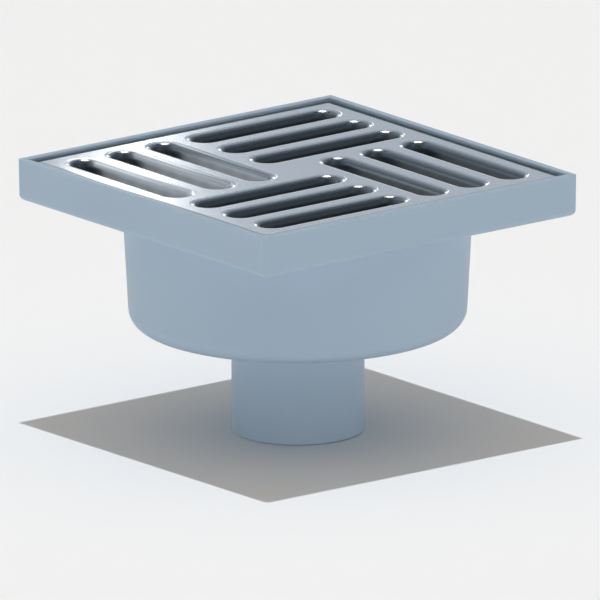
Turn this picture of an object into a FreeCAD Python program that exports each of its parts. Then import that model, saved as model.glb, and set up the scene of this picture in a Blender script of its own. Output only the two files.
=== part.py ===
"""Square floor gully with a bell trap and a slotted grate, standing on its outlet spigot.

The origin is the centre of the spigot's foot, with +Z up and the tray's sides along X and Y.
All sizes are in millimetres.
"""
import FreeCAD, Part
import math
import os

# Body: square tray, round bowl and outlet
TRAY_SIDE = 150.0          # across the top of the rim, outside
TRAY_DEPTH = 16.5          # rim to the tray's underside
TRAY_WALL = 2.5
TRAY_FLOOR = 2.5
TRAY_DRAFT = 0.76          # degrees, the sides lean in towards the bottom
TRAY_FOOT_ROUND = 2.5      # outside, round the bottom edge
TRAY_FLOOR_ROUND = 1.5     # inside, where the walls meet the floor
RIM_OUTER_ROUND = 0.4
RIM_INNER_ROUND = 0.5

BOWL_RADIUS = 66.2         # outside, where the bowl meets the tray
BOWL_DEPTH = 45.1          # tray's underside to the bowl's underside
BOWL_WALL = 2.5
BOWL_FLOOR = 2.5
BOWL_DRAFT = 3.17          # degrees
BOWL_FOOT_ROUND = 7.0

SPIGOT_DIAMETER = 50.3     # outlet for a 50 mm drain socket
SPIGOT_LENGTH = 41.1       # bowl's underside to the spigot's foot
SPIGOT_WALL = 2.5
SPIGOT_FOOT_ROUND = 1.0

# Standpipe inside the bowl, over which the water leaves
STANDPIPE_DIAMETER = 49.2
STANDPIPE_BELOW_RIM = 25.0
STANDPIPE_LIP_ROUND = 0.4
STANDPIPE_ROOT_ROUND = 1.5

# Ribs on the tray's walls that carry the grate
RIBS_PER_SIDE = 3
RIB_SPACING = 45.0
RIB_THICKNESS = 2.0
RIB_DEPTH = 3.5

# Grate: one pressed sheet with rolled slots and a bent-down edge
GRATE_SHEET = 1.2
GRATE_GAP = 0.5            # all round, inside the rim
GRATE_RECESS = 1.0         # its top lies this far below the rim
GRATE_EDGE_ROLL = 3.2      # outer radius of its edges and corners
GRATE_SKIRT = 6.0          # height of the sheet's bent-down edge
SLOT_WIDTH = 8.6           # clear, between the collars
SLOT_ROLL = 3.4            # radius of the rolled lip round each slot
SLOT_COLLAR = 5.5          # depth of the collar below the grate's top
SLOT_PITCH = 19.25
SLOT_EDGE_MARGIN = 14.6    # grate's edge to the outermost slot's centreline
SLOT_END_MARGIN = 14.9     # grate's edge to the outer end's centre of each slot
SLOT_INNER_END = 0.7       # grate's centre to the inner end's centre of each slot
SLOT_LEAST_FLAT = 3.0      # flat sheet left between one slot's roll and the next

# Bell: removable cup over the standpipe
BELL_RADIUS = 36.0         # outside
BELL_WALL = 2.0
BELL_HEADROOM = 9.0        # standpipe's lip to the inside of the bell's top
BELL_DIP = 27.0            # depth of the bell's rim below the standpipe's lip
BELL_SHOULDER_ROUND = 4.0
BELL_RIM_ROUND = 0.6
BELL_FINS = 4
BELL_FIN_THICKNESS = 2.0
BELL_FIN_DROP = 18.0       # how far the fins reach down beside the standpipe
BELL_FIN_CLEARANCE = 0.3
GRIP_LENGTH = 30.0
GRIP_THICKNESS = 3.0
GRIP_HEIGHT = 5.5
GRIP_ROUND = 1.0

# Heights above the spigot's foot
BOWL_UNDERSIDE_Z = SPIGOT_LENGTH
BOWL_FLOOR_Z = BOWL_UNDERSIDE_Z + BOWL_FLOOR
TRAY_UNDERSIDE_Z = BOWL_UNDERSIDE_Z + BOWL_DEPTH
TRAY_FLOOR_Z = TRAY_UNDERSIDE_Z + TRAY_FLOOR
RIM_Z = TRAY_UNDERSIDE_Z + TRAY_DEPTH
GRATE_TOP_Z = RIM_Z - GRATE_RECESS
GRATE_SEAT_Z = GRATE_TOP_Z - GRATE_SKIRT
STANDPIPE_LIP_Z = RIM_Z - STANDPIPE_BELOW_RIM
BELL_CEILING_Z = STANDPIPE_LIP_Z + BELL_HEADROOM
BELL_TOP_Z = BELL_CEILING_Z + BELL_WALL
BELL_RIM_Z = STANDPIPE_LIP_Z - BELL_DIP

# Radii and half sides that follow from the sizes above
TRAY_HALF = TRAY_SIDE / 2
CAVITY_HALF = TRAY_HALF - TRAY_WALL
GRATE_HALF = CAVITY_HALF - GRATE_GAP
SPIGOT_RADIUS = SPIGOT_DIAMETER / 2
BORE_RADIUS = SPIGOT_RADIUS - SPIGOT_WALL
STANDPIPE_RADIUS = STANDPIPE_DIAMETER / 2
OVERLAP = 1.0              # how far joined forms run into each other before they are fused
SAME_HEIGHT = 1e-4         # edges this near a height lie in it
UP = FreeCAD.Vector(0, 0, 1)
ORIGIN = FreeCAD.Vector(0, 0, 0)


def draft_shift(height, degrees):
    """Sideways shift of a drafted wall over a height."""
    return height * math.tan(math.radians(degrees))


def rounded_outline(corners):
    """Closed wire in the XZ plane through corners (x, z, radius), each corner rounded by its radius."""
    points = [FreeCAD.Vector(x, 0, z) for x, z, radius in corners]
    count = len(points)
    entries, exits, arcs = [], [], []
    for i, (x, z, radius) in enumerate(corners):
        here = points[i]
        back = (points[i - 1] - here).normalize()
        ahead = (points[(i + 1) % count] - here).normalize()
        if radius == 0:
            entries.append(here)
            exits.append(here)
            arcs.append(None)
            continue
        half_angle = back.getAngle(ahead) / 2
        trim = radius / math.tan(half_angle)
        middle = (back + ahead).normalize() * (radius / math.sin(half_angle) - radius)
        entries.append(here + back * trim)
        exits.append(here + ahead * trim)
        arcs.append(Part.Arc(entries[i], here + middle, exits[i]).toShape())
    edges = []
    for i in range(count):
        if arcs[i]:
            edges.append(arcs[i])
        edges.append(Part.LineSegment(exits[i], entries[(i + 1) % count]).toShape())
    return Part.Wire(edges)


def turned(corners):
    """Solid of revolution about Z from an outline given as (radius, z, rounding)."""
    return Part.Face(rounded_outline(corners)).revolve(ORIGIN, UP, 360)


def block(x_low, x_high, y_low, y_high, z_low, z_high):
    """Box between two corners."""
    corner = FreeCAD.Vector(x_low, y_low, z_low)
    return Part.makeBox(x_high - x_low, y_high - y_low, z_high - z_low, corner)


def square_frustum(half_low, half_high, z_low, z_high):
    """Solid with square ends and four flat sloping sides, centred on Z."""
    low, high = half_low, half_high
    wedge = Part.makeWedge(-low, z_low, -low, -high, -high, low, z_high, low, high, high)
    wedge.rotate(ORIGIN, FreeCAD.Vector(1, 0, 0), 90)
    return wedge


def level_edges(shape, z, within=math.inf):
    """Edges that lie flat at a height, within a distance of Z along X and Y."""
    found = []
    for edge in shape.Edges:
        box = edge.BoundBox
        flat = abs(box.ZMin - z) < SAME_HEIGHT and abs(box.ZMax - z) < SAME_HEIGHT
        reach = max(abs(box.XMin), abs(box.XMax), abs(box.YMin), abs(box.YMax))
        if flat and reach < within:
            found.append(edge)
    return found


def upright_edges(shape):
    """Straight edges that run along Z."""
    return [e for e in shape.Edges if max(e.BoundBox.XLength, e.BoundBox.YLength) < SAME_HEIGHT]


def quarter_turned(shape, quarters):
    """Copy of a shape, turned about Z by quarter turns."""
    copy = shape.copy()
    copy.rotate(ORIGIN, UP, 90 * quarters)
    return copy


def make_tray():
    """Square tray with drafted walls, a rounded foot and a round opening for the bowl."""
    lean = draft_shift(TRAY_DEPTH, TRAY_DRAFT)
    outside = square_frustum(TRAY_HALF - lean, TRAY_HALF, TRAY_UNDERSIDE_Z, RIM_Z)
    outside = outside.makeFillet(TRAY_FOOT_ROUND, level_edges(outside, TRAY_UNDERSIDE_Z))
    outside = outside.makeFillet(RIM_OUTER_ROUND, level_edges(outside, RIM_Z))

    lean_inside = draft_shift(RIM_Z - TRAY_FLOOR_Z, TRAY_DRAFT)
    cavity = square_frustum(CAVITY_HALF - lean_inside, CAVITY_HALF, TRAY_FLOOR_Z, RIM_Z)
    cavity = cavity.makeFillet(TRAY_FLOOR_ROUND, level_edges(cavity, TRAY_FLOOR_Z))
    tray = outside.cut(cavity)

    tray = tray.makeFillet(RIM_INNER_ROUND, level_edges(tray, RIM_Z, CAVITY_HALF + TRAY_WALL / 2))
    opening = Part.makeCylinder(BOWL_RADIUS - BOWL_WALL / 2, TRAY_FLOOR, ORIGIN + UP * TRAY_UNDERSIDE_Z)
    return tray.cut(opening)


def make_bowl_and_outlet():
    """Bowl, standpipe and spigot, turned as one section about Z."""
    foot_radius = BOWL_RADIUS - draft_shift(BOWL_DEPTH, BOWL_DRAFT)
    mouth_radius = BOWL_RADIUS + draft_shift(TRAY_FLOOR, BOWL_DRAFT)
    floor_radius = foot_radius + draft_shift(BOWL_FLOOR, BOWL_DRAFT)
    return turned([
        (BORE_RADIUS, 0, 0),
        (SPIGOT_RADIUS, 0, SPIGOT_FOOT_ROUND),
        (SPIGOT_RADIUS, BOWL_UNDERSIDE_Z, 0),
        (foot_radius, BOWL_UNDERSIDE_Z, BOWL_FOOT_ROUND),
        (mouth_radius, TRAY_FLOOR_Z, 0),
        (mouth_radius - BOWL_WALL, TRAY_FLOOR_Z, 0),
        (floor_radius - BOWL_WALL, BOWL_FLOOR_Z, BOWL_FOOT_ROUND - BOWL_WALL),
        (STANDPIPE_RADIUS, BOWL_FLOOR_Z, STANDPIPE_ROOT_ROUND),
        (STANDPIPE_RADIUS, STANDPIPE_LIP_Z, STANDPIPE_LIP_ROUND),
        (BORE_RADIUS, STANDPIPE_LIP_Z, STANDPIPE_LIP_ROUND),
    ])


def make_ribs():
    """Upright ribs on the tray's four walls, with the grate's seat as their top."""
    ribs = []
    first = -RIB_SPACING * (RIBS_PER_SIDE - 1) / 2
    inner = CAVITY_HALF - RIB_DEPTH
    for i in range(RIBS_PER_SIDE):
        middle = first + i * RIB_SPACING
        rib = block(inner, CAVITY_HALF + OVERLAP, middle - RIB_THICKNESS / 2, middle + RIB_THICKNESS / 2,
                    TRAY_FLOOR_Z - OVERLAP, GRATE_SEAT_Z)
        ribs += [quarter_turned(rib, quarters) for quarters in range(4)]
    return ribs


def make_body():
    """The moulded body, one piece: tray, ribs, bowl, standpipe and spigot."""
    return make_tray().fuse([make_bowl_and_outlet()] + make_ribs()).removeSplitter()


def make_pan(half, z_low, z_high, roll):
    """Square block with its upright corners and top edges rounded alike."""
    pan = block(-half, half, -half, half, z_low, z_high)
    return pan.makeFillet(roll, upright_edges(pan) + level_edges(pan, z_high))


def stadium(half_width, x_low, x_high, y, z_low, z_high):
    """Upright prism with straight sides along X and round ends, centred on (x_low, y) and (x_high, y)."""
    middle = block(x_low, x_high, y - half_width, y + half_width, z_low, z_high)
    ends = [Part.makeCylinder(half_width, z_high - z_low, FreeCAD.Vector(x, y, z_low)) for x in (x_low, x_high)]
    return middle.fuse(ends).removeSplitter()


def slot_rows():
    """Distance from the grate's centre of each slot's centreline in a quadrant, outermost first."""
    lip = SLOT_WIDTH / 2 + SLOT_ROLL
    outermost = GRATE_HALF - SLOT_EDGE_MARGIN
    innermost_allowed = 2 * lip - SLOT_INNER_END + SLOT_LEAST_FLAT
    count = 1 + int((outermost - innermost_allowed) / SLOT_PITCH)
    return [outermost - row * SLOT_PITCH for row in range(count)]


def slot_prisms(half_width, z_low, z_high):
    """One upright prism for every slot: a quadrant's rows, turned four times to make a pinwheel."""
    outer_end = GRATE_HALF - SLOT_END_MARGIN
    quadrant = [stadium(half_width, SLOT_INNER_END, outer_end, y, z_low, z_high) for y in slot_rows()]
    return [quarter_turned(prism, quarters) for quarters in range(4) for prism in quadrant]


def make_grate():
    """Pressed sheet: flat top, bent-down edge, and slots whose lips roll down into collars."""
    underside_z = GRATE_TOP_Z - GRATE_SHEET
    collar_z = GRATE_TOP_Z - SLOT_COLLAR
    half_width = SLOT_WIDTH / 2
    field = GRATE_HALF - SLOT_EDGE_MARGIN + half_width + SLOT_ROLL

    outside = make_pan(GRATE_HALF, GRATE_SEAT_Z, GRATE_TOP_Z, GRATE_EDGE_ROLL)
    hollow = make_pan(GRATE_HALF - GRATE_SHEET, GRATE_SEAT_Z - OVERLAP, underside_z,
                      GRATE_EDGE_ROLL - GRATE_SHEET)
    sheet = outside.cut(hollow)
    sheet = sheet.fuse(slot_prisms(half_width + GRATE_SHEET, collar_z, underside_z)).removeSplitter()
    sheet = sheet.makeFillet(SLOT_ROLL - GRATE_SHEET, level_edges(sheet, underside_z, field))
    sheet = sheet.cut(slot_prisms(half_width, collar_z - OVERLAP, GRATE_TOP_Z + OVERLAP))
    return sheet.makeFillet(SLOT_ROLL, level_edges(sheet, GRATE_TOP_Z, field))


def make_bell_cup():
    """The bell's cup, open below, with a rounded shoulder."""
    inner = BELL_RADIUS - BELL_WALL
    return turned([
        (0, BELL_CEILING_Z, 0),
        (inner, BELL_CEILING_Z, BELL_SHOULDER_ROUND - BELL_WALL),
        (inner, BELL_RIM_Z, BELL_RIM_ROUND),
        (BELL_RADIUS, BELL_RIM_Z, BELL_RIM_ROUND),
        (BELL_RADIUS, BELL_TOP_Z, BELL_SHOULDER_ROUND),
        (0, BELL_TOP_Z, 0),
    ])


def make_fins():
    """Fins inside the bell: their steps rest on the standpipe's lip and their legs centre the bell on it."""
    reach = BELL_RADIUS - BELL_WALL / 2
    half = BELL_FIN_THICKNESS / 2
    shelf = block(BORE_RADIUS + BELL_FIN_CLEARANCE, reach - BELL_SHOULDER_ROUND / 2, -half, half,
                  STANDPIPE_LIP_Z, BELL_CEILING_Z + BELL_WALL / 2)
    leg = block(STANDPIPE_RADIUS + BELL_FIN_CLEARANCE, reach, -half, half,
                STANDPIPE_LIP_Z - BELL_FIN_DROP, BELL_CEILING_Z - BELL_SHOULDER_ROUND)
    fin = shelf.fuse(leg)
    fins = []
    for i in range(BELL_FINS):
        copy = fin.copy()
        copy.rotate(ORIGIN, UP, (i + 0.5) * 360 / BELL_FINS)
        fins.append(copy)
    return fins


def make_grip():
    """Low upright tab on the bell's top, to lift it out by."""
    grip = block(-GRIP_LENGTH / 2, GRIP_LENGTH / 2, -GRIP_THICKNESS / 2, GRIP_THICKNESS / 2,
                 BELL_TOP_Z - BELL_WALL / 2, BELL_TOP_Z + GRIP_HEIGHT)
    return grip.makeFillet(GRIP_ROUND, level_edges(grip, BELL_TOP_Z + GRIP_HEIGHT) + upright_edges(grip))


def make_trap_bell():
    """The bell, one moulding: cup, fins and grip."""
    return make_bell_cup().fuse(make_fins() + [make_grip()]).removeSplitter()


def main():
    nodes = {
        "body": make_body(),
        "grate": make_grate(),
        "trap_bell": make_trap_bell(),
    }
    os.makedirs("parts", exist_ok=True)
    for name, shape in nodes.items():
        solids = shape.Solids
        solid = solids[0] if len(solids) == 1 else shape
        solid.exportStep("parts/" + name + ".step")
        box = solid.BoundBox
        print(name, "valid", solid.isValid(), "solids", len(solids), "volume %.0f mm3" % solid.Volume,
              "x %.2f..%.2f y %.2f..%.2f z %.2f..%.2f" % (box.XMin, box.XMax, box.YMin, box.YMax,
                                                          box.ZMin, box.ZMax))


main()
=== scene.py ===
"""Finish, light and view of a square floor gully with a slotted steel grate.

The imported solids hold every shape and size, in metres, with +Z up and the origin at the spigot's foot.
"""
import math

import bpy
from mathutils import Matrix, Vector


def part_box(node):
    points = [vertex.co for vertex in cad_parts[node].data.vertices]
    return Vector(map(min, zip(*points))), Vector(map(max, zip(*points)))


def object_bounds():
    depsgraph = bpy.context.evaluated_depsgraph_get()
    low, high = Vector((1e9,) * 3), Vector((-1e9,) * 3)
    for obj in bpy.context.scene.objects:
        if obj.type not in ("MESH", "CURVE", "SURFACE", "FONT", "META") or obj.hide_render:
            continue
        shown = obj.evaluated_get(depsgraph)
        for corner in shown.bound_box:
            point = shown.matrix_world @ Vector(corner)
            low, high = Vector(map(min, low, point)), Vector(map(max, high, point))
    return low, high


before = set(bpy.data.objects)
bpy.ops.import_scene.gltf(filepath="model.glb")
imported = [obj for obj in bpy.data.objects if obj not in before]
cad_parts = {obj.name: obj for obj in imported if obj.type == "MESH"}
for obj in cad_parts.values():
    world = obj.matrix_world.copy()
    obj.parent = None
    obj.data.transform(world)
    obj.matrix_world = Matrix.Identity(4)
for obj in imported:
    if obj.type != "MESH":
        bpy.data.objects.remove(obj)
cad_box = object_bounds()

# View: a parallel one, from the front left corner and a little above
IMAGE_WIDTH = 600                 # pixels
PIXELS_PER_METRE = 2646.9
VIEW_AZIMUTH = -38.10             # degrees
VIEW_ELEVATION = 14.87            # degrees
VIEW_ROLL = 0.003                 # radians
AIM_RIGHT = 0.00083               # image centre from the rim's centre, along the view's right
AIM_DOWN = 0.05055                # and down
CAMERA_DISTANCE = 1.2

# Colours given as 0 to 255 are as the eye sees them, and the others are shares of light

# Body and bell: moulded plastic
PLASTIC_GREY_BLUE = (152, 170, 186)
PLASTIC_CLOUD_TINTS = (0.97, 1.03)
PLASTIC_CLOUDS_PER_METRE = 30.0
PLASTIC_GRAINS_PER_METRE = 2400.0
PLASTIC_GRAIN_DEPTH = 0.0002
PLASTIC_GRAIN_STRENGTH = 0.05
PLASTIC_ROUGHNESS = 0.46
PLASTIC_ROUGHNESS_GRAIN = 0.08    # rougher by up to this much, grain by grain
PLASTIC_IOR = 1.46
PLASTIC_SPECULAR = 0.4

# Grate: stainless sheet
STEEL = (224, 227, 231)
SLOT_SHADE_STEEL = (131, 137, 142)      # painted shade inside the slots: the steel's colour darkened there
STEEL_CLOUD_TINTS = (0.985, 1.015)
STEEL_CLOUDS_PER_METRE = 45.0
STEEL_GRAINS_PER_METRE = 1500.0
STEEL_ROUGHNESS = 0.16
STEEL_ROUGHNESS_GRAIN = 0.04
SHADE_AND_DULL_DEPTHS = (0.0002, 0.0016)    # below the grate's top, where painted shade starts to darken the steel and it starts to dull, and where both are full
DULL_ROUGHNESS = 0.18             # rougher there by this much
DEEP_DEPTHS = (0.0018, 0.0030)    # where it roughens once more
DEEP_ROUGHNESS = 0.10

# Overhead lamp
LAMP_HEIGHT = 9.0
LAMP_RADIUS = 0.03
LAMP_POWER = 1733.0
LAMP_COLOUR = (0.966, 1.0, 1.050)
LAMP_TILT_RIGHT = -0.0088         # off the object's axis, as a slope along the view's right
LAMP_TILT_AWAY = 0.0234           # and away from the camera

# Cards that only mirrored rays meet, for the grate's steel to show. Places are from the middle of the grate's
# top. Each card has its place, the way that it faces, its width, height, spread in degrees and power.
CARDS = {
    "stripe_card": ((0.716, 1.011, 0.328), (-0.763, -0.974, -0.328), 0.016, 0.200, 180.0, 0.036),
    "outer_crest_card": ((-0.030, 0.082, 0.028), (-0.0274, -0.047, -0.028), 0.030, 0.030, 60.0, 0.0003),
    "inner_crest_card": ((-0.0135, 0.092, 0.037), (-0.0355, -0.060, -0.037), 0.040, 0.036, 60.0, 0.0003),
    "middle_card": ((-0.062, 0.085, 0.045), (0.007, -0.053, -0.045), 0.060, 0.055, 62.0, 0.0006),
    "low_card": ((-0.080, 0.086, 0.020), (0.025, -0.054, -0.020), 0.065, 0.055, 62.0, 0.0025),
}

# Rows of small cards like them, which stand in the left and right slots and light the slots' far walls but not
# their far ends. Each side has its slots' places to the right, its first card's place along the slot, and the
# power of a card.
SLOT_ROWS = {
    "left": ((-0.0574, -0.0382, -0.0189), 0.013, 0.00020),
    "right": ((0.0574, 0.0382, 0.0189), -0.047, 0.000045),
}
ROW_CARDS = 5
ROW_PITCH = 0.010
ROW_CARD_WIDTH = 0.0066
ROW_CARD_HEIGHT = 0.010
ROW_CARD_SPREAD = 180.0           # degrees
ROW_INSET = 0.0022                # off the slot's middle, towards its near wall
ROW_DEPTH = 0.0055                # below the grate's top
ROW_FACES = (0.766, -0.643, 0.0)

# Studio that the steel reflects. Three shares of a direction, each -1 to 1, say where it lies: ahead, which is
# straight away from the camera, aside, which is to the view's right, and height. A pair of numbers is where a
# patch starts and ends a fade: FOOT and TOP in height, SIDE aside, START, END and AHEAD ahead.

# Walls: the grey that flat steel shows of them, by azimuth in degrees from straight ahead
WALL_GREYS = [(-180, 150), (-80, 142), (-65, 124), (-50, 120), (-31, 129), (-18, 147), (-6, 163), (0, 170),
              (5, 165), (16, 147), (31, 122), (49, 103), (66, 93), (89, 79), (99, 75), (125, 150), (180, 150)]
RED_BELOW = 10                    # red lies this much below a grey
BLUE_ABOVE = 11                   # and blue above it

# Low band: evens out the walls near the horizon, except ahead
LOW_BAND_TOP = (0.26, 0.34)
LOW_BAND_LEAN = 0.1               # its top lies this much lower ahead and higher behind
LOW_BAND_AHEAD = (-0.1, 0.45)
LOW_BAND_GREY = 122
LOW_BAND_REAR_GREY = 90
REAR = (0.45, 0.75)               # share towards the camera

# Overhead: black ceiling, grey roof round the zenith, and a white panel just ahead of it
CEILING_FOOT = (0.75, 0.97)
CEILING_SHARE = 0.8
ROOF_FOOT = (0.988, 0.996)
ROOF_COLOUR = (0.20, 0.21, 0.22)
PANEL_START = (0.07, 0.10)
PANEL_END = (0.34, 0.40)
PANEL_FOOT = (0.80, 0.85)
PANEL_SIDE = (0.12, 0.18)
PANEL_COLOUR = (5.0, 5.0, 5.0)

# Behind the camera: a dark patch high up. Ahead: a white horizon, brighter on either flank
DARK_PATCH_FOOT = (0.42, 0.52)
DARK_PATCH_COLOUR = (0.012, 0.012, 0.014)
HORIZON_AHEAD = (0.5, 0.9)
HORIZON_TOP = (0.10, 0.17)
HORIZON_COLOUR = (0.9, 0.9, 0.9)
FLANK_INNER_SIDE = (0.05, 0.10)
FLANK_OUTER_SIDE = (0.27, 0.32)
FLANK_TOP = (0.14, 0.19)
FLANK_COLOUR = (2.4, 2.4, 2.4)

# Soft light on matt surfaces: strong and a little blue at the horizon, weak and warm from above
GLOW_STRENGTH = 4.34
GLOW_COLOUR = (0.976, 1.0, 1.028)
GLOW_TOP = (0.06, 0.22)
DOME_STRENGTH = 0.5
DOME_COLOUR = (1.14, 1.0, 0.86)
DOME_FOOT = (0.4, 0.7)

# Floor, and the backdrop that the camera sees
FLOOR_HALF = 3.0
FLOOR_COLOUR = (0.876, 0.896, 0.906)
BACKDROP = (242, 243, 244)


def linear(colour):
    """Scene-linear colour of an sRGB colour given as 0 to 255."""
    shares = [c / 255 for c in colour]
    return [s / 12.92 if s <= 0.04045 else ((s + 0.055) / 1.055) ** 2.4 for s in shares]


def shaded(colour, factor):
    """Colour made darker or lighter by a factor."""
    return [c * factor for c in colour]


def grey_in_steel(grey):
    """Colour that the studio holds where the steel shows a grey, given as the eye sees it."""
    shown = linear((grey - RED_BELOW, grey, grey + BLUE_ABOVE))
    return [share / tint for share, tint in zip(shown, linear(STEEL))]


def find_socket(sockets, key):
    """Socket with a place, an identifier or a name."""
    if isinstance(key, int):
        return sockets[key]
    return next((s for s in sockets if s.identifier == key), None) or sockets[key]


class Value:
    """A node's output, so that shader maths can be written as Python expressions."""

    def __init__(self, shader, socket):
        self.shader = shader
        self.socket = socket

    def __add__(self, other):
        return self.shader.maths("ADD", self, other)

    def __radd__(self, other):
        return self.shader.maths("ADD", other, self)

    def __sub__(self, other):
        return self.shader.maths("SUBTRACT", self, other)

    def __rsub__(self, other):
        return self.shader.maths("SUBTRACT", other, self)

    def __mul__(self, other):
        return self.shader.maths("MULTIPLY", self, other)

    def __rmul__(self, other):
        return self.shader.maths("MULTIPLY", other, self)

    def __truediv__(self, other):
        return self.shader.maths("DIVIDE", self, other)

    def __abs__(self):
        return self.shader.maths("ABSOLUTE", self)

    def step_up(self, low, high):
        """0 below low, 1 above high and a smooth rise between."""
        return self.shader.node("ShaderNodeMapRange", {"interpolation_type": "SMOOTHSTEP"},
                                {"Value": self, "From Min": low, "From Max": high})

    def step_down(self, low, high):
        """1 below low, 0 above high and a smooth fall between."""
        return 1.0 - self.step_up(low, high)


class Shader:
    """Node tree of a material or the world."""

    def __init__(self, owner):
        owner.use_nodes = True
        self.tree = owner.node_tree
        self.tree.nodes.clear()

    def node(self, kind, settings=None, values=None, output=0):
        """Adds a node: first its settings, then its sockets' values or links. Gives one of its outputs."""
        made = self.tree.nodes.new(kind)
        for name, setting in (settings or {}).items():
            if name == "stops":
                self.set_stops(made.color_ramp, setting)
            else:
                setattr(made, name, setting)
        for key, value in (values or {}).items():
            socket = find_socket(made.inputs, key)
            if isinstance(value, Value):
                self.tree.links.new(value.socket, socket)
            else:
                socket.default_value = value
        return Value(self, find_socket(made.outputs, output)) if made.outputs else None

    def set_stops(self, ramp, stops):
        """Gives a ramp its stops, each a place and a linear colour."""
        while len(ramp.elements) < len(stops):
            ramp.elements.new(1.0)
        for element, (place, colour) in zip(ramp.elements, stops):
            element.position = place
            element.color = (*colour, 1.0)

    def maths(self, operation, *operands):
        """One sum on numbers."""
        return self.node("ShaderNodeMath", {"operation": operation}, dict(enumerate(operands)))

    def mix(self, factor, first, second):
        """Colour between two colours."""
        pair = {"Factor_Float": factor, "A_Color": opaque(first), "B_Color": opaque(second)}
        return self.node("ShaderNodeMix", {"data_type": "RGBA"}, pair, "Result_Color")

    def dot(self, first, second):
        """Share of one direction along another."""
        return self.node("ShaderNodeVectorMath", {"operation": "DOT_PRODUCT"}, {0: first, 1: second}, "Value")

    def height(self, place):
        """How high a place or a direction lies."""
        return self.node("ShaderNodeSeparateXYZ", values={"Vector": place}, output="Z")

    def noise(self, scale, detail):
        """Smooth noise of about 0 to 1, scale cells to the metre, along the object's own axes."""
        place = self.node("ShaderNodeTexCoord", output="Object")
        return self.node("ShaderNodeTexNoise", values={"Vector": place, "Scale": scale, "Detail": detail})


def opaque(colour):
    """A written colour gets its alpha, and a linked one stays."""
    return colour if isinstance(colour, Value) else (*colour, 1.0)


def satin_plastic(name):
    """Moulded plastic: an even tint with faint clouds, and the fine grain of the mould in its gloss."""
    material = bpy.data.materials.new(name)
    shader = Shader(material)
    darker, lighter = [shaded(linear(PLASTIC_GREY_BLUE), tint) for tint in PLASTIC_CLOUD_TINTS]
    clouds = shader.noise(PLASTIC_CLOUDS_PER_METRE, detail=3.0)
    grain = shader.noise(PLASTIC_GRAINS_PER_METRE, detail=2.0)
    bump = {"Height": grain, "Strength": PLASTIC_GRAIN_STRENGTH, "Distance": PLASTIC_GRAIN_DEPTH}
    surface = shader.node("ShaderNodeBsdfPrincipled", values={
        "Base Color": shader.mix(clouds, darker, lighter),
        "Roughness": PLASTIC_ROUGHNESS + PLASTIC_ROUGHNESS_GRAIN * grain,
        "IOR": PLASTIC_IOR,
        "Specular IOR Level": PLASTIC_SPECULAR,
        "Normal": shader.node("ShaderNodeBump", values=bump),
    })
    shader.node("ShaderNodeOutputMaterial", values={"Surface": surface})
    return material


def pressed_steel(name):
    """Stainless sheet with a soft polish, darkened down in the slots by painted shade and rougher there, with
    faint clouds and a fine grain.
    """
    material = bpy.data.materials.new(name)
    shader = Shader(material)
    darker, lighter = [shaded(linear(STEEL), tint) for tint in STEEL_CLOUD_TINTS]
    clouds = shader.noise(STEEL_CLOUDS_PER_METRE, detail=3.0)
    grain = shader.noise(STEEL_GRAINS_PER_METRE, detail=3.0)
    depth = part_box("grate")[1].z - shader.height(shader.node("ShaderNodeTexCoord", output="Object"))
    # Painted shade: the base colour darkens with depth in the slots, and the same mask also makes the steel
    # rougher there
    shade_and_dullness = depth.step_up(*SHADE_AND_DULL_DEPTHS)
    surface = shader.node("ShaderNodeBsdfPrincipled", values={
        "Base Color": shader.mix(shade_and_dullness, shader.mix(clouds, darker, lighter), linear(SLOT_SHADE_STEEL)),
        "Metallic": 1.0,
        "Roughness": STEEL_ROUGHNESS + STEEL_ROUGHNESS_GRAIN * grain + DULL_ROUGHNESS * shade_and_dullness
                     + DEEP_ROUGHNESS * depth.step_up(*DEEP_DEPTHS),
    })
    shader.node("ShaderNodeOutputMaterial", values={"Surface": surface})
    return material


def dress(node, material):
    """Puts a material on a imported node."""
    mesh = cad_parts[node].data
    mesh.materials.clear()
    mesh.materials.append(material)


def view_axes():
    """Right, up and back of the view before its roll."""
    azimuth = math.radians(VIEW_AZIMUTH)
    elevation = math.radians(VIEW_ELEVATION)
    right = Vector((math.cos(azimuth), math.sin(azimuth), 0))
    back = Vector((math.sin(azimuth) * math.cos(elevation), -math.cos(azimuth) * math.cos(elevation),
                   math.sin(elevation)))
    return right, back.cross(right), back


def level_away():
    """Level direction straight away from the camera."""
    back = view_axes()[2]
    return Vector((-back.x, -back.y, 0)).normalized()


def make_camera():
    data = bpy.data.cameras.new("camera")
    data.type = "ORTHO"
    data.ortho_scale = IMAGE_WIDTH / PIXELS_PER_METRE
    camera = bpy.data.objects.new("camera", data)
    bpy.context.scene.collection.objects.link(camera)
    right, up, back = view_axes()
    rim_centre = Vector((0, 0, cad_box[1].z))
    place = rim_centre + right * AIM_RIGHT - up * AIM_DOWN + back * CAMERA_DISTANCE
    rolled_right = right * math.cos(VIEW_ROLL) - up * math.sin(VIEW_ROLL)
    rolled_up = up * math.cos(VIEW_ROLL) + right * math.sin(VIEW_ROLL)
    turn = Matrix((rolled_right, rolled_up, back)).transposed()
    camera.matrix_world = Matrix.Translation(place) @ turn.to_4x4()
    bpy.context.scene.camera = camera


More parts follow.
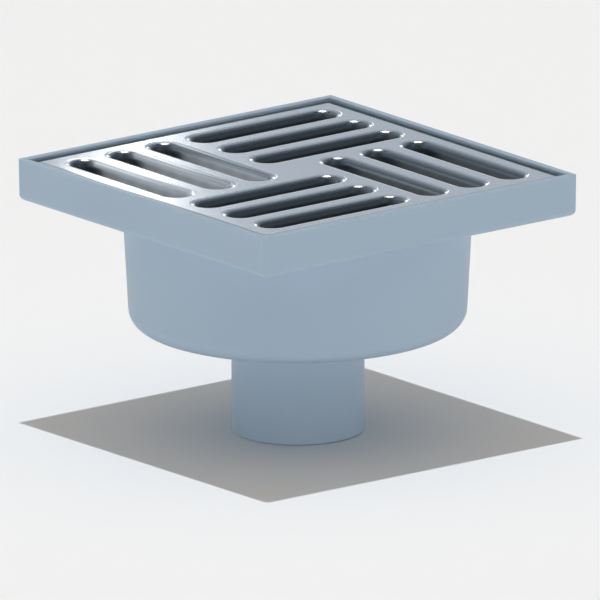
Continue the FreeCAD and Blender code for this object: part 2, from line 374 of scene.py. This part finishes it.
def reflected_studio(shader, direction, height):
    """Colour of the studio that the steel reflects, by direction."""
    ahead = shader.dot(direction, level_away())
    aside = shader.dot(direction, view_axes()[0])
    off_axis = abs(aside)
    azimuth = shader.maths("ARCTAN2", aside, ahead) / math.tau + 0.5
    stops = [(0.5 + degrees / 360, grey_in_steel(grey)) for degrees, grey in WALL_GREYS]
    studio = shader.node("ShaderNodeValToRGB", {"stops": stops}, {"Fac": azimuth})

    rear = (0.0 - ahead).step_up(*REAR)
    low_band = (height + LOW_BAND_LEAN * ahead).step_down(*LOW_BAND_TOP) * ahead.step_down(*LOW_BAND_AHEAD)
    low_grey = shader.mix(rear, grey_in_steel(LOW_BAND_GREY), grey_in_steel(LOW_BAND_REAR_GREY))
    panel = (ahead.step_up(*PANEL_START) * ahead.step_down(*PANEL_END) * height.step_up(*PANEL_FOOT)
             * off_axis.step_down(*PANEL_SIDE))
    facing = ahead.step_up(*HORIZON_AHEAD)
    flanks = (off_axis.step_up(*FLANK_INNER_SIDE) * off_axis.step_down(*FLANK_OUTER_SIDE) * facing
              * height.step_down(*FLANK_TOP))

    studio = shader.mix(low_band, studio, low_grey)
    studio = shader.mix(height.step_up(*CEILING_FOOT) * CEILING_SHARE, studio, (0, 0, 0))
    studio = shader.mix(rear * height.step_up(*DARK_PATCH_FOOT), studio, DARK_PATCH_COLOUR)
    studio = shader.mix(height.step_up(*ROOF_FOOT), studio, ROOF_COLOUR)
    studio = shader.mix(panel, studio, PANEL_COLOUR)
    studio = shader.mix(facing * height.step_down(*HORIZON_TOP), studio, HORIZON_COLOUR)
    return shader.mix(flanks, studio, FLANK_COLOUR)


def make_world():
    """Even pale backdrop, low soft light all round, and the studio that the steel reflects."""
    world = bpy.data.worlds.new("studio")
    bpy.context.scene.world = world
    world.cycles.sampling_method = "NONE"    # so that steel meets only what glossy rays see
    shader = Shader(world)
    direction = shader.node("ShaderNodeTexCoord", output="Generated")
    height = shader.height(direction)

    dome = height.step_up(*DOME_FOOT)
    soft = shader.node("ShaderNodeBackground", values={
        "Color": shader.mix(dome, GLOW_COLOUR, DOME_COLOUR),
        "Strength": GLOW_STRENGTH * height.step_down(*GLOW_TOP) + DOME_STRENGTH * dome,
    })
    studio = reflected_studio(shader, direction, height)
    reflected = shader.node("ShaderNodeBackground", values={"Color": studio})
    backdrop = shader.node("ShaderNodeBackground", values={"Color": opaque(linear(BACKDROP))})
    is_glossy = shader.node("ShaderNodeLightPath", output="Is Glossy Ray")
    is_camera = shader.node("ShaderNodeLightPath", output="Is Camera Ray")
    lit = shader.node("ShaderNodeMixShader", values={0: is_glossy, 1: soft, 2: reflected})
    seen = shader.node("ShaderNodeMixShader", values={0: is_camera, 1: lit, 2: backdrop})
    shader.node("ShaderNodeOutputWorld", values={"Surface": seen})


def make_floor():
    material = bpy.data.materials.new("pale_floor")
    shader = Shader(material)
    matt = shader.node("ShaderNodeBsdfDiffuse", values={"Color": opaque(FLOOR_COLOUR)})
    shader.node("ShaderNodeOutputMaterial", values={"Surface": matt})
    mesh = bpy.data.meshes.new("floor")
    corners = [(-FLOOR_HALF, -FLOOR_HALF, 0), (FLOOR_HALF, -FLOOR_HALF, 0),
               (FLOOR_HALF, FLOOR_HALF, 0), (-FLOOR_HALF, FLOOR_HALF, 0)]
    mesh.from_pydata(corners, [], [(0, 1, 2, 3)])
    mesh.materials.append(material)
    floor = bpy.data.objects.new("floor", mesh)
    bpy.context.scene.collection.objects.link(floor)


def add_lamp(name, kind, power, place, aim):
    """Lamp at a place, turned to a point."""
    data = bpy.data.lights.new(name, kind)
    data.energy = power
    lamp = bpy.data.objects.new(name, data)
    bpy.context.scene.collection.objects.link(lamp)
    lamp.location = place
    lamp.rotation_mode = "QUATERNION"
    lamp.rotation_quaternion = (aim - place).to_track_quat("-Z", "Y")
    return lamp


def add_overhead_lamp():
    slope = view_axes()[0] * LAMP_TILT_RIGHT + level_away() * LAMP_TILT_AWAY
    place = (Vector((0, 0, 1)) + slope) * LAMP_HEIGHT
    lamp = add_lamp("overhead", "POINT", LAMP_POWER, place, Vector((0, 0, 0)))
    lamp.data.shadow_soft_size = LAMP_RADIUS
    lamp.data.color = LAMP_COLOUR
    lamp.visible_glossy = False


def add_card(name, place, faces, width, height, spread, power):
    """Small glowing card that only mirrored rays meet."""
    card = add_lamp(name, "AREA", power, place, place + Vector(faces))
    card.data.shape = "RECTANGLE"
    card.data.size = width
    card.data.size_y = height
    card.data.spread = math.radians(spread)
    card.visible_camera = False
    card.visible_diffuse = False


def add_cards():
    middle = Vector((0, 0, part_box("grate")[1].z))
    for name, (place, faces, width, height, spread, power) in CARDS.items():
        add_card(name, middle + Vector(place), faces, width, height, spread, power)
    for side, (slots, first, power) in SLOT_ROWS.items():
        for row, slot in enumerate(slots, 1):
            for number in range(ROW_CARDS):
                place = middle + Vector((slot - ROW_INSET, first + number * ROW_PITCH, -ROW_DEPTH))
                add_card(f"{side}_slot_{row}_card_{number + 1}", place, ROW_FACES,
                         ROW_CARD_WIDTH, ROW_CARD_HEIGHT, ROW_CARD_SPREAD, power)


dress("body", satin_plastic("body_plastic"))
dress("trap_bell", satin_plastic("bell_plastic"))
dress("grate", pressed_steel("grate_steel"))

make_camera()
make_world()
make_floor()
add_overhead_lamp()
add_cards()

bpy.context.scene.view_settings.view_transform = "Standard"
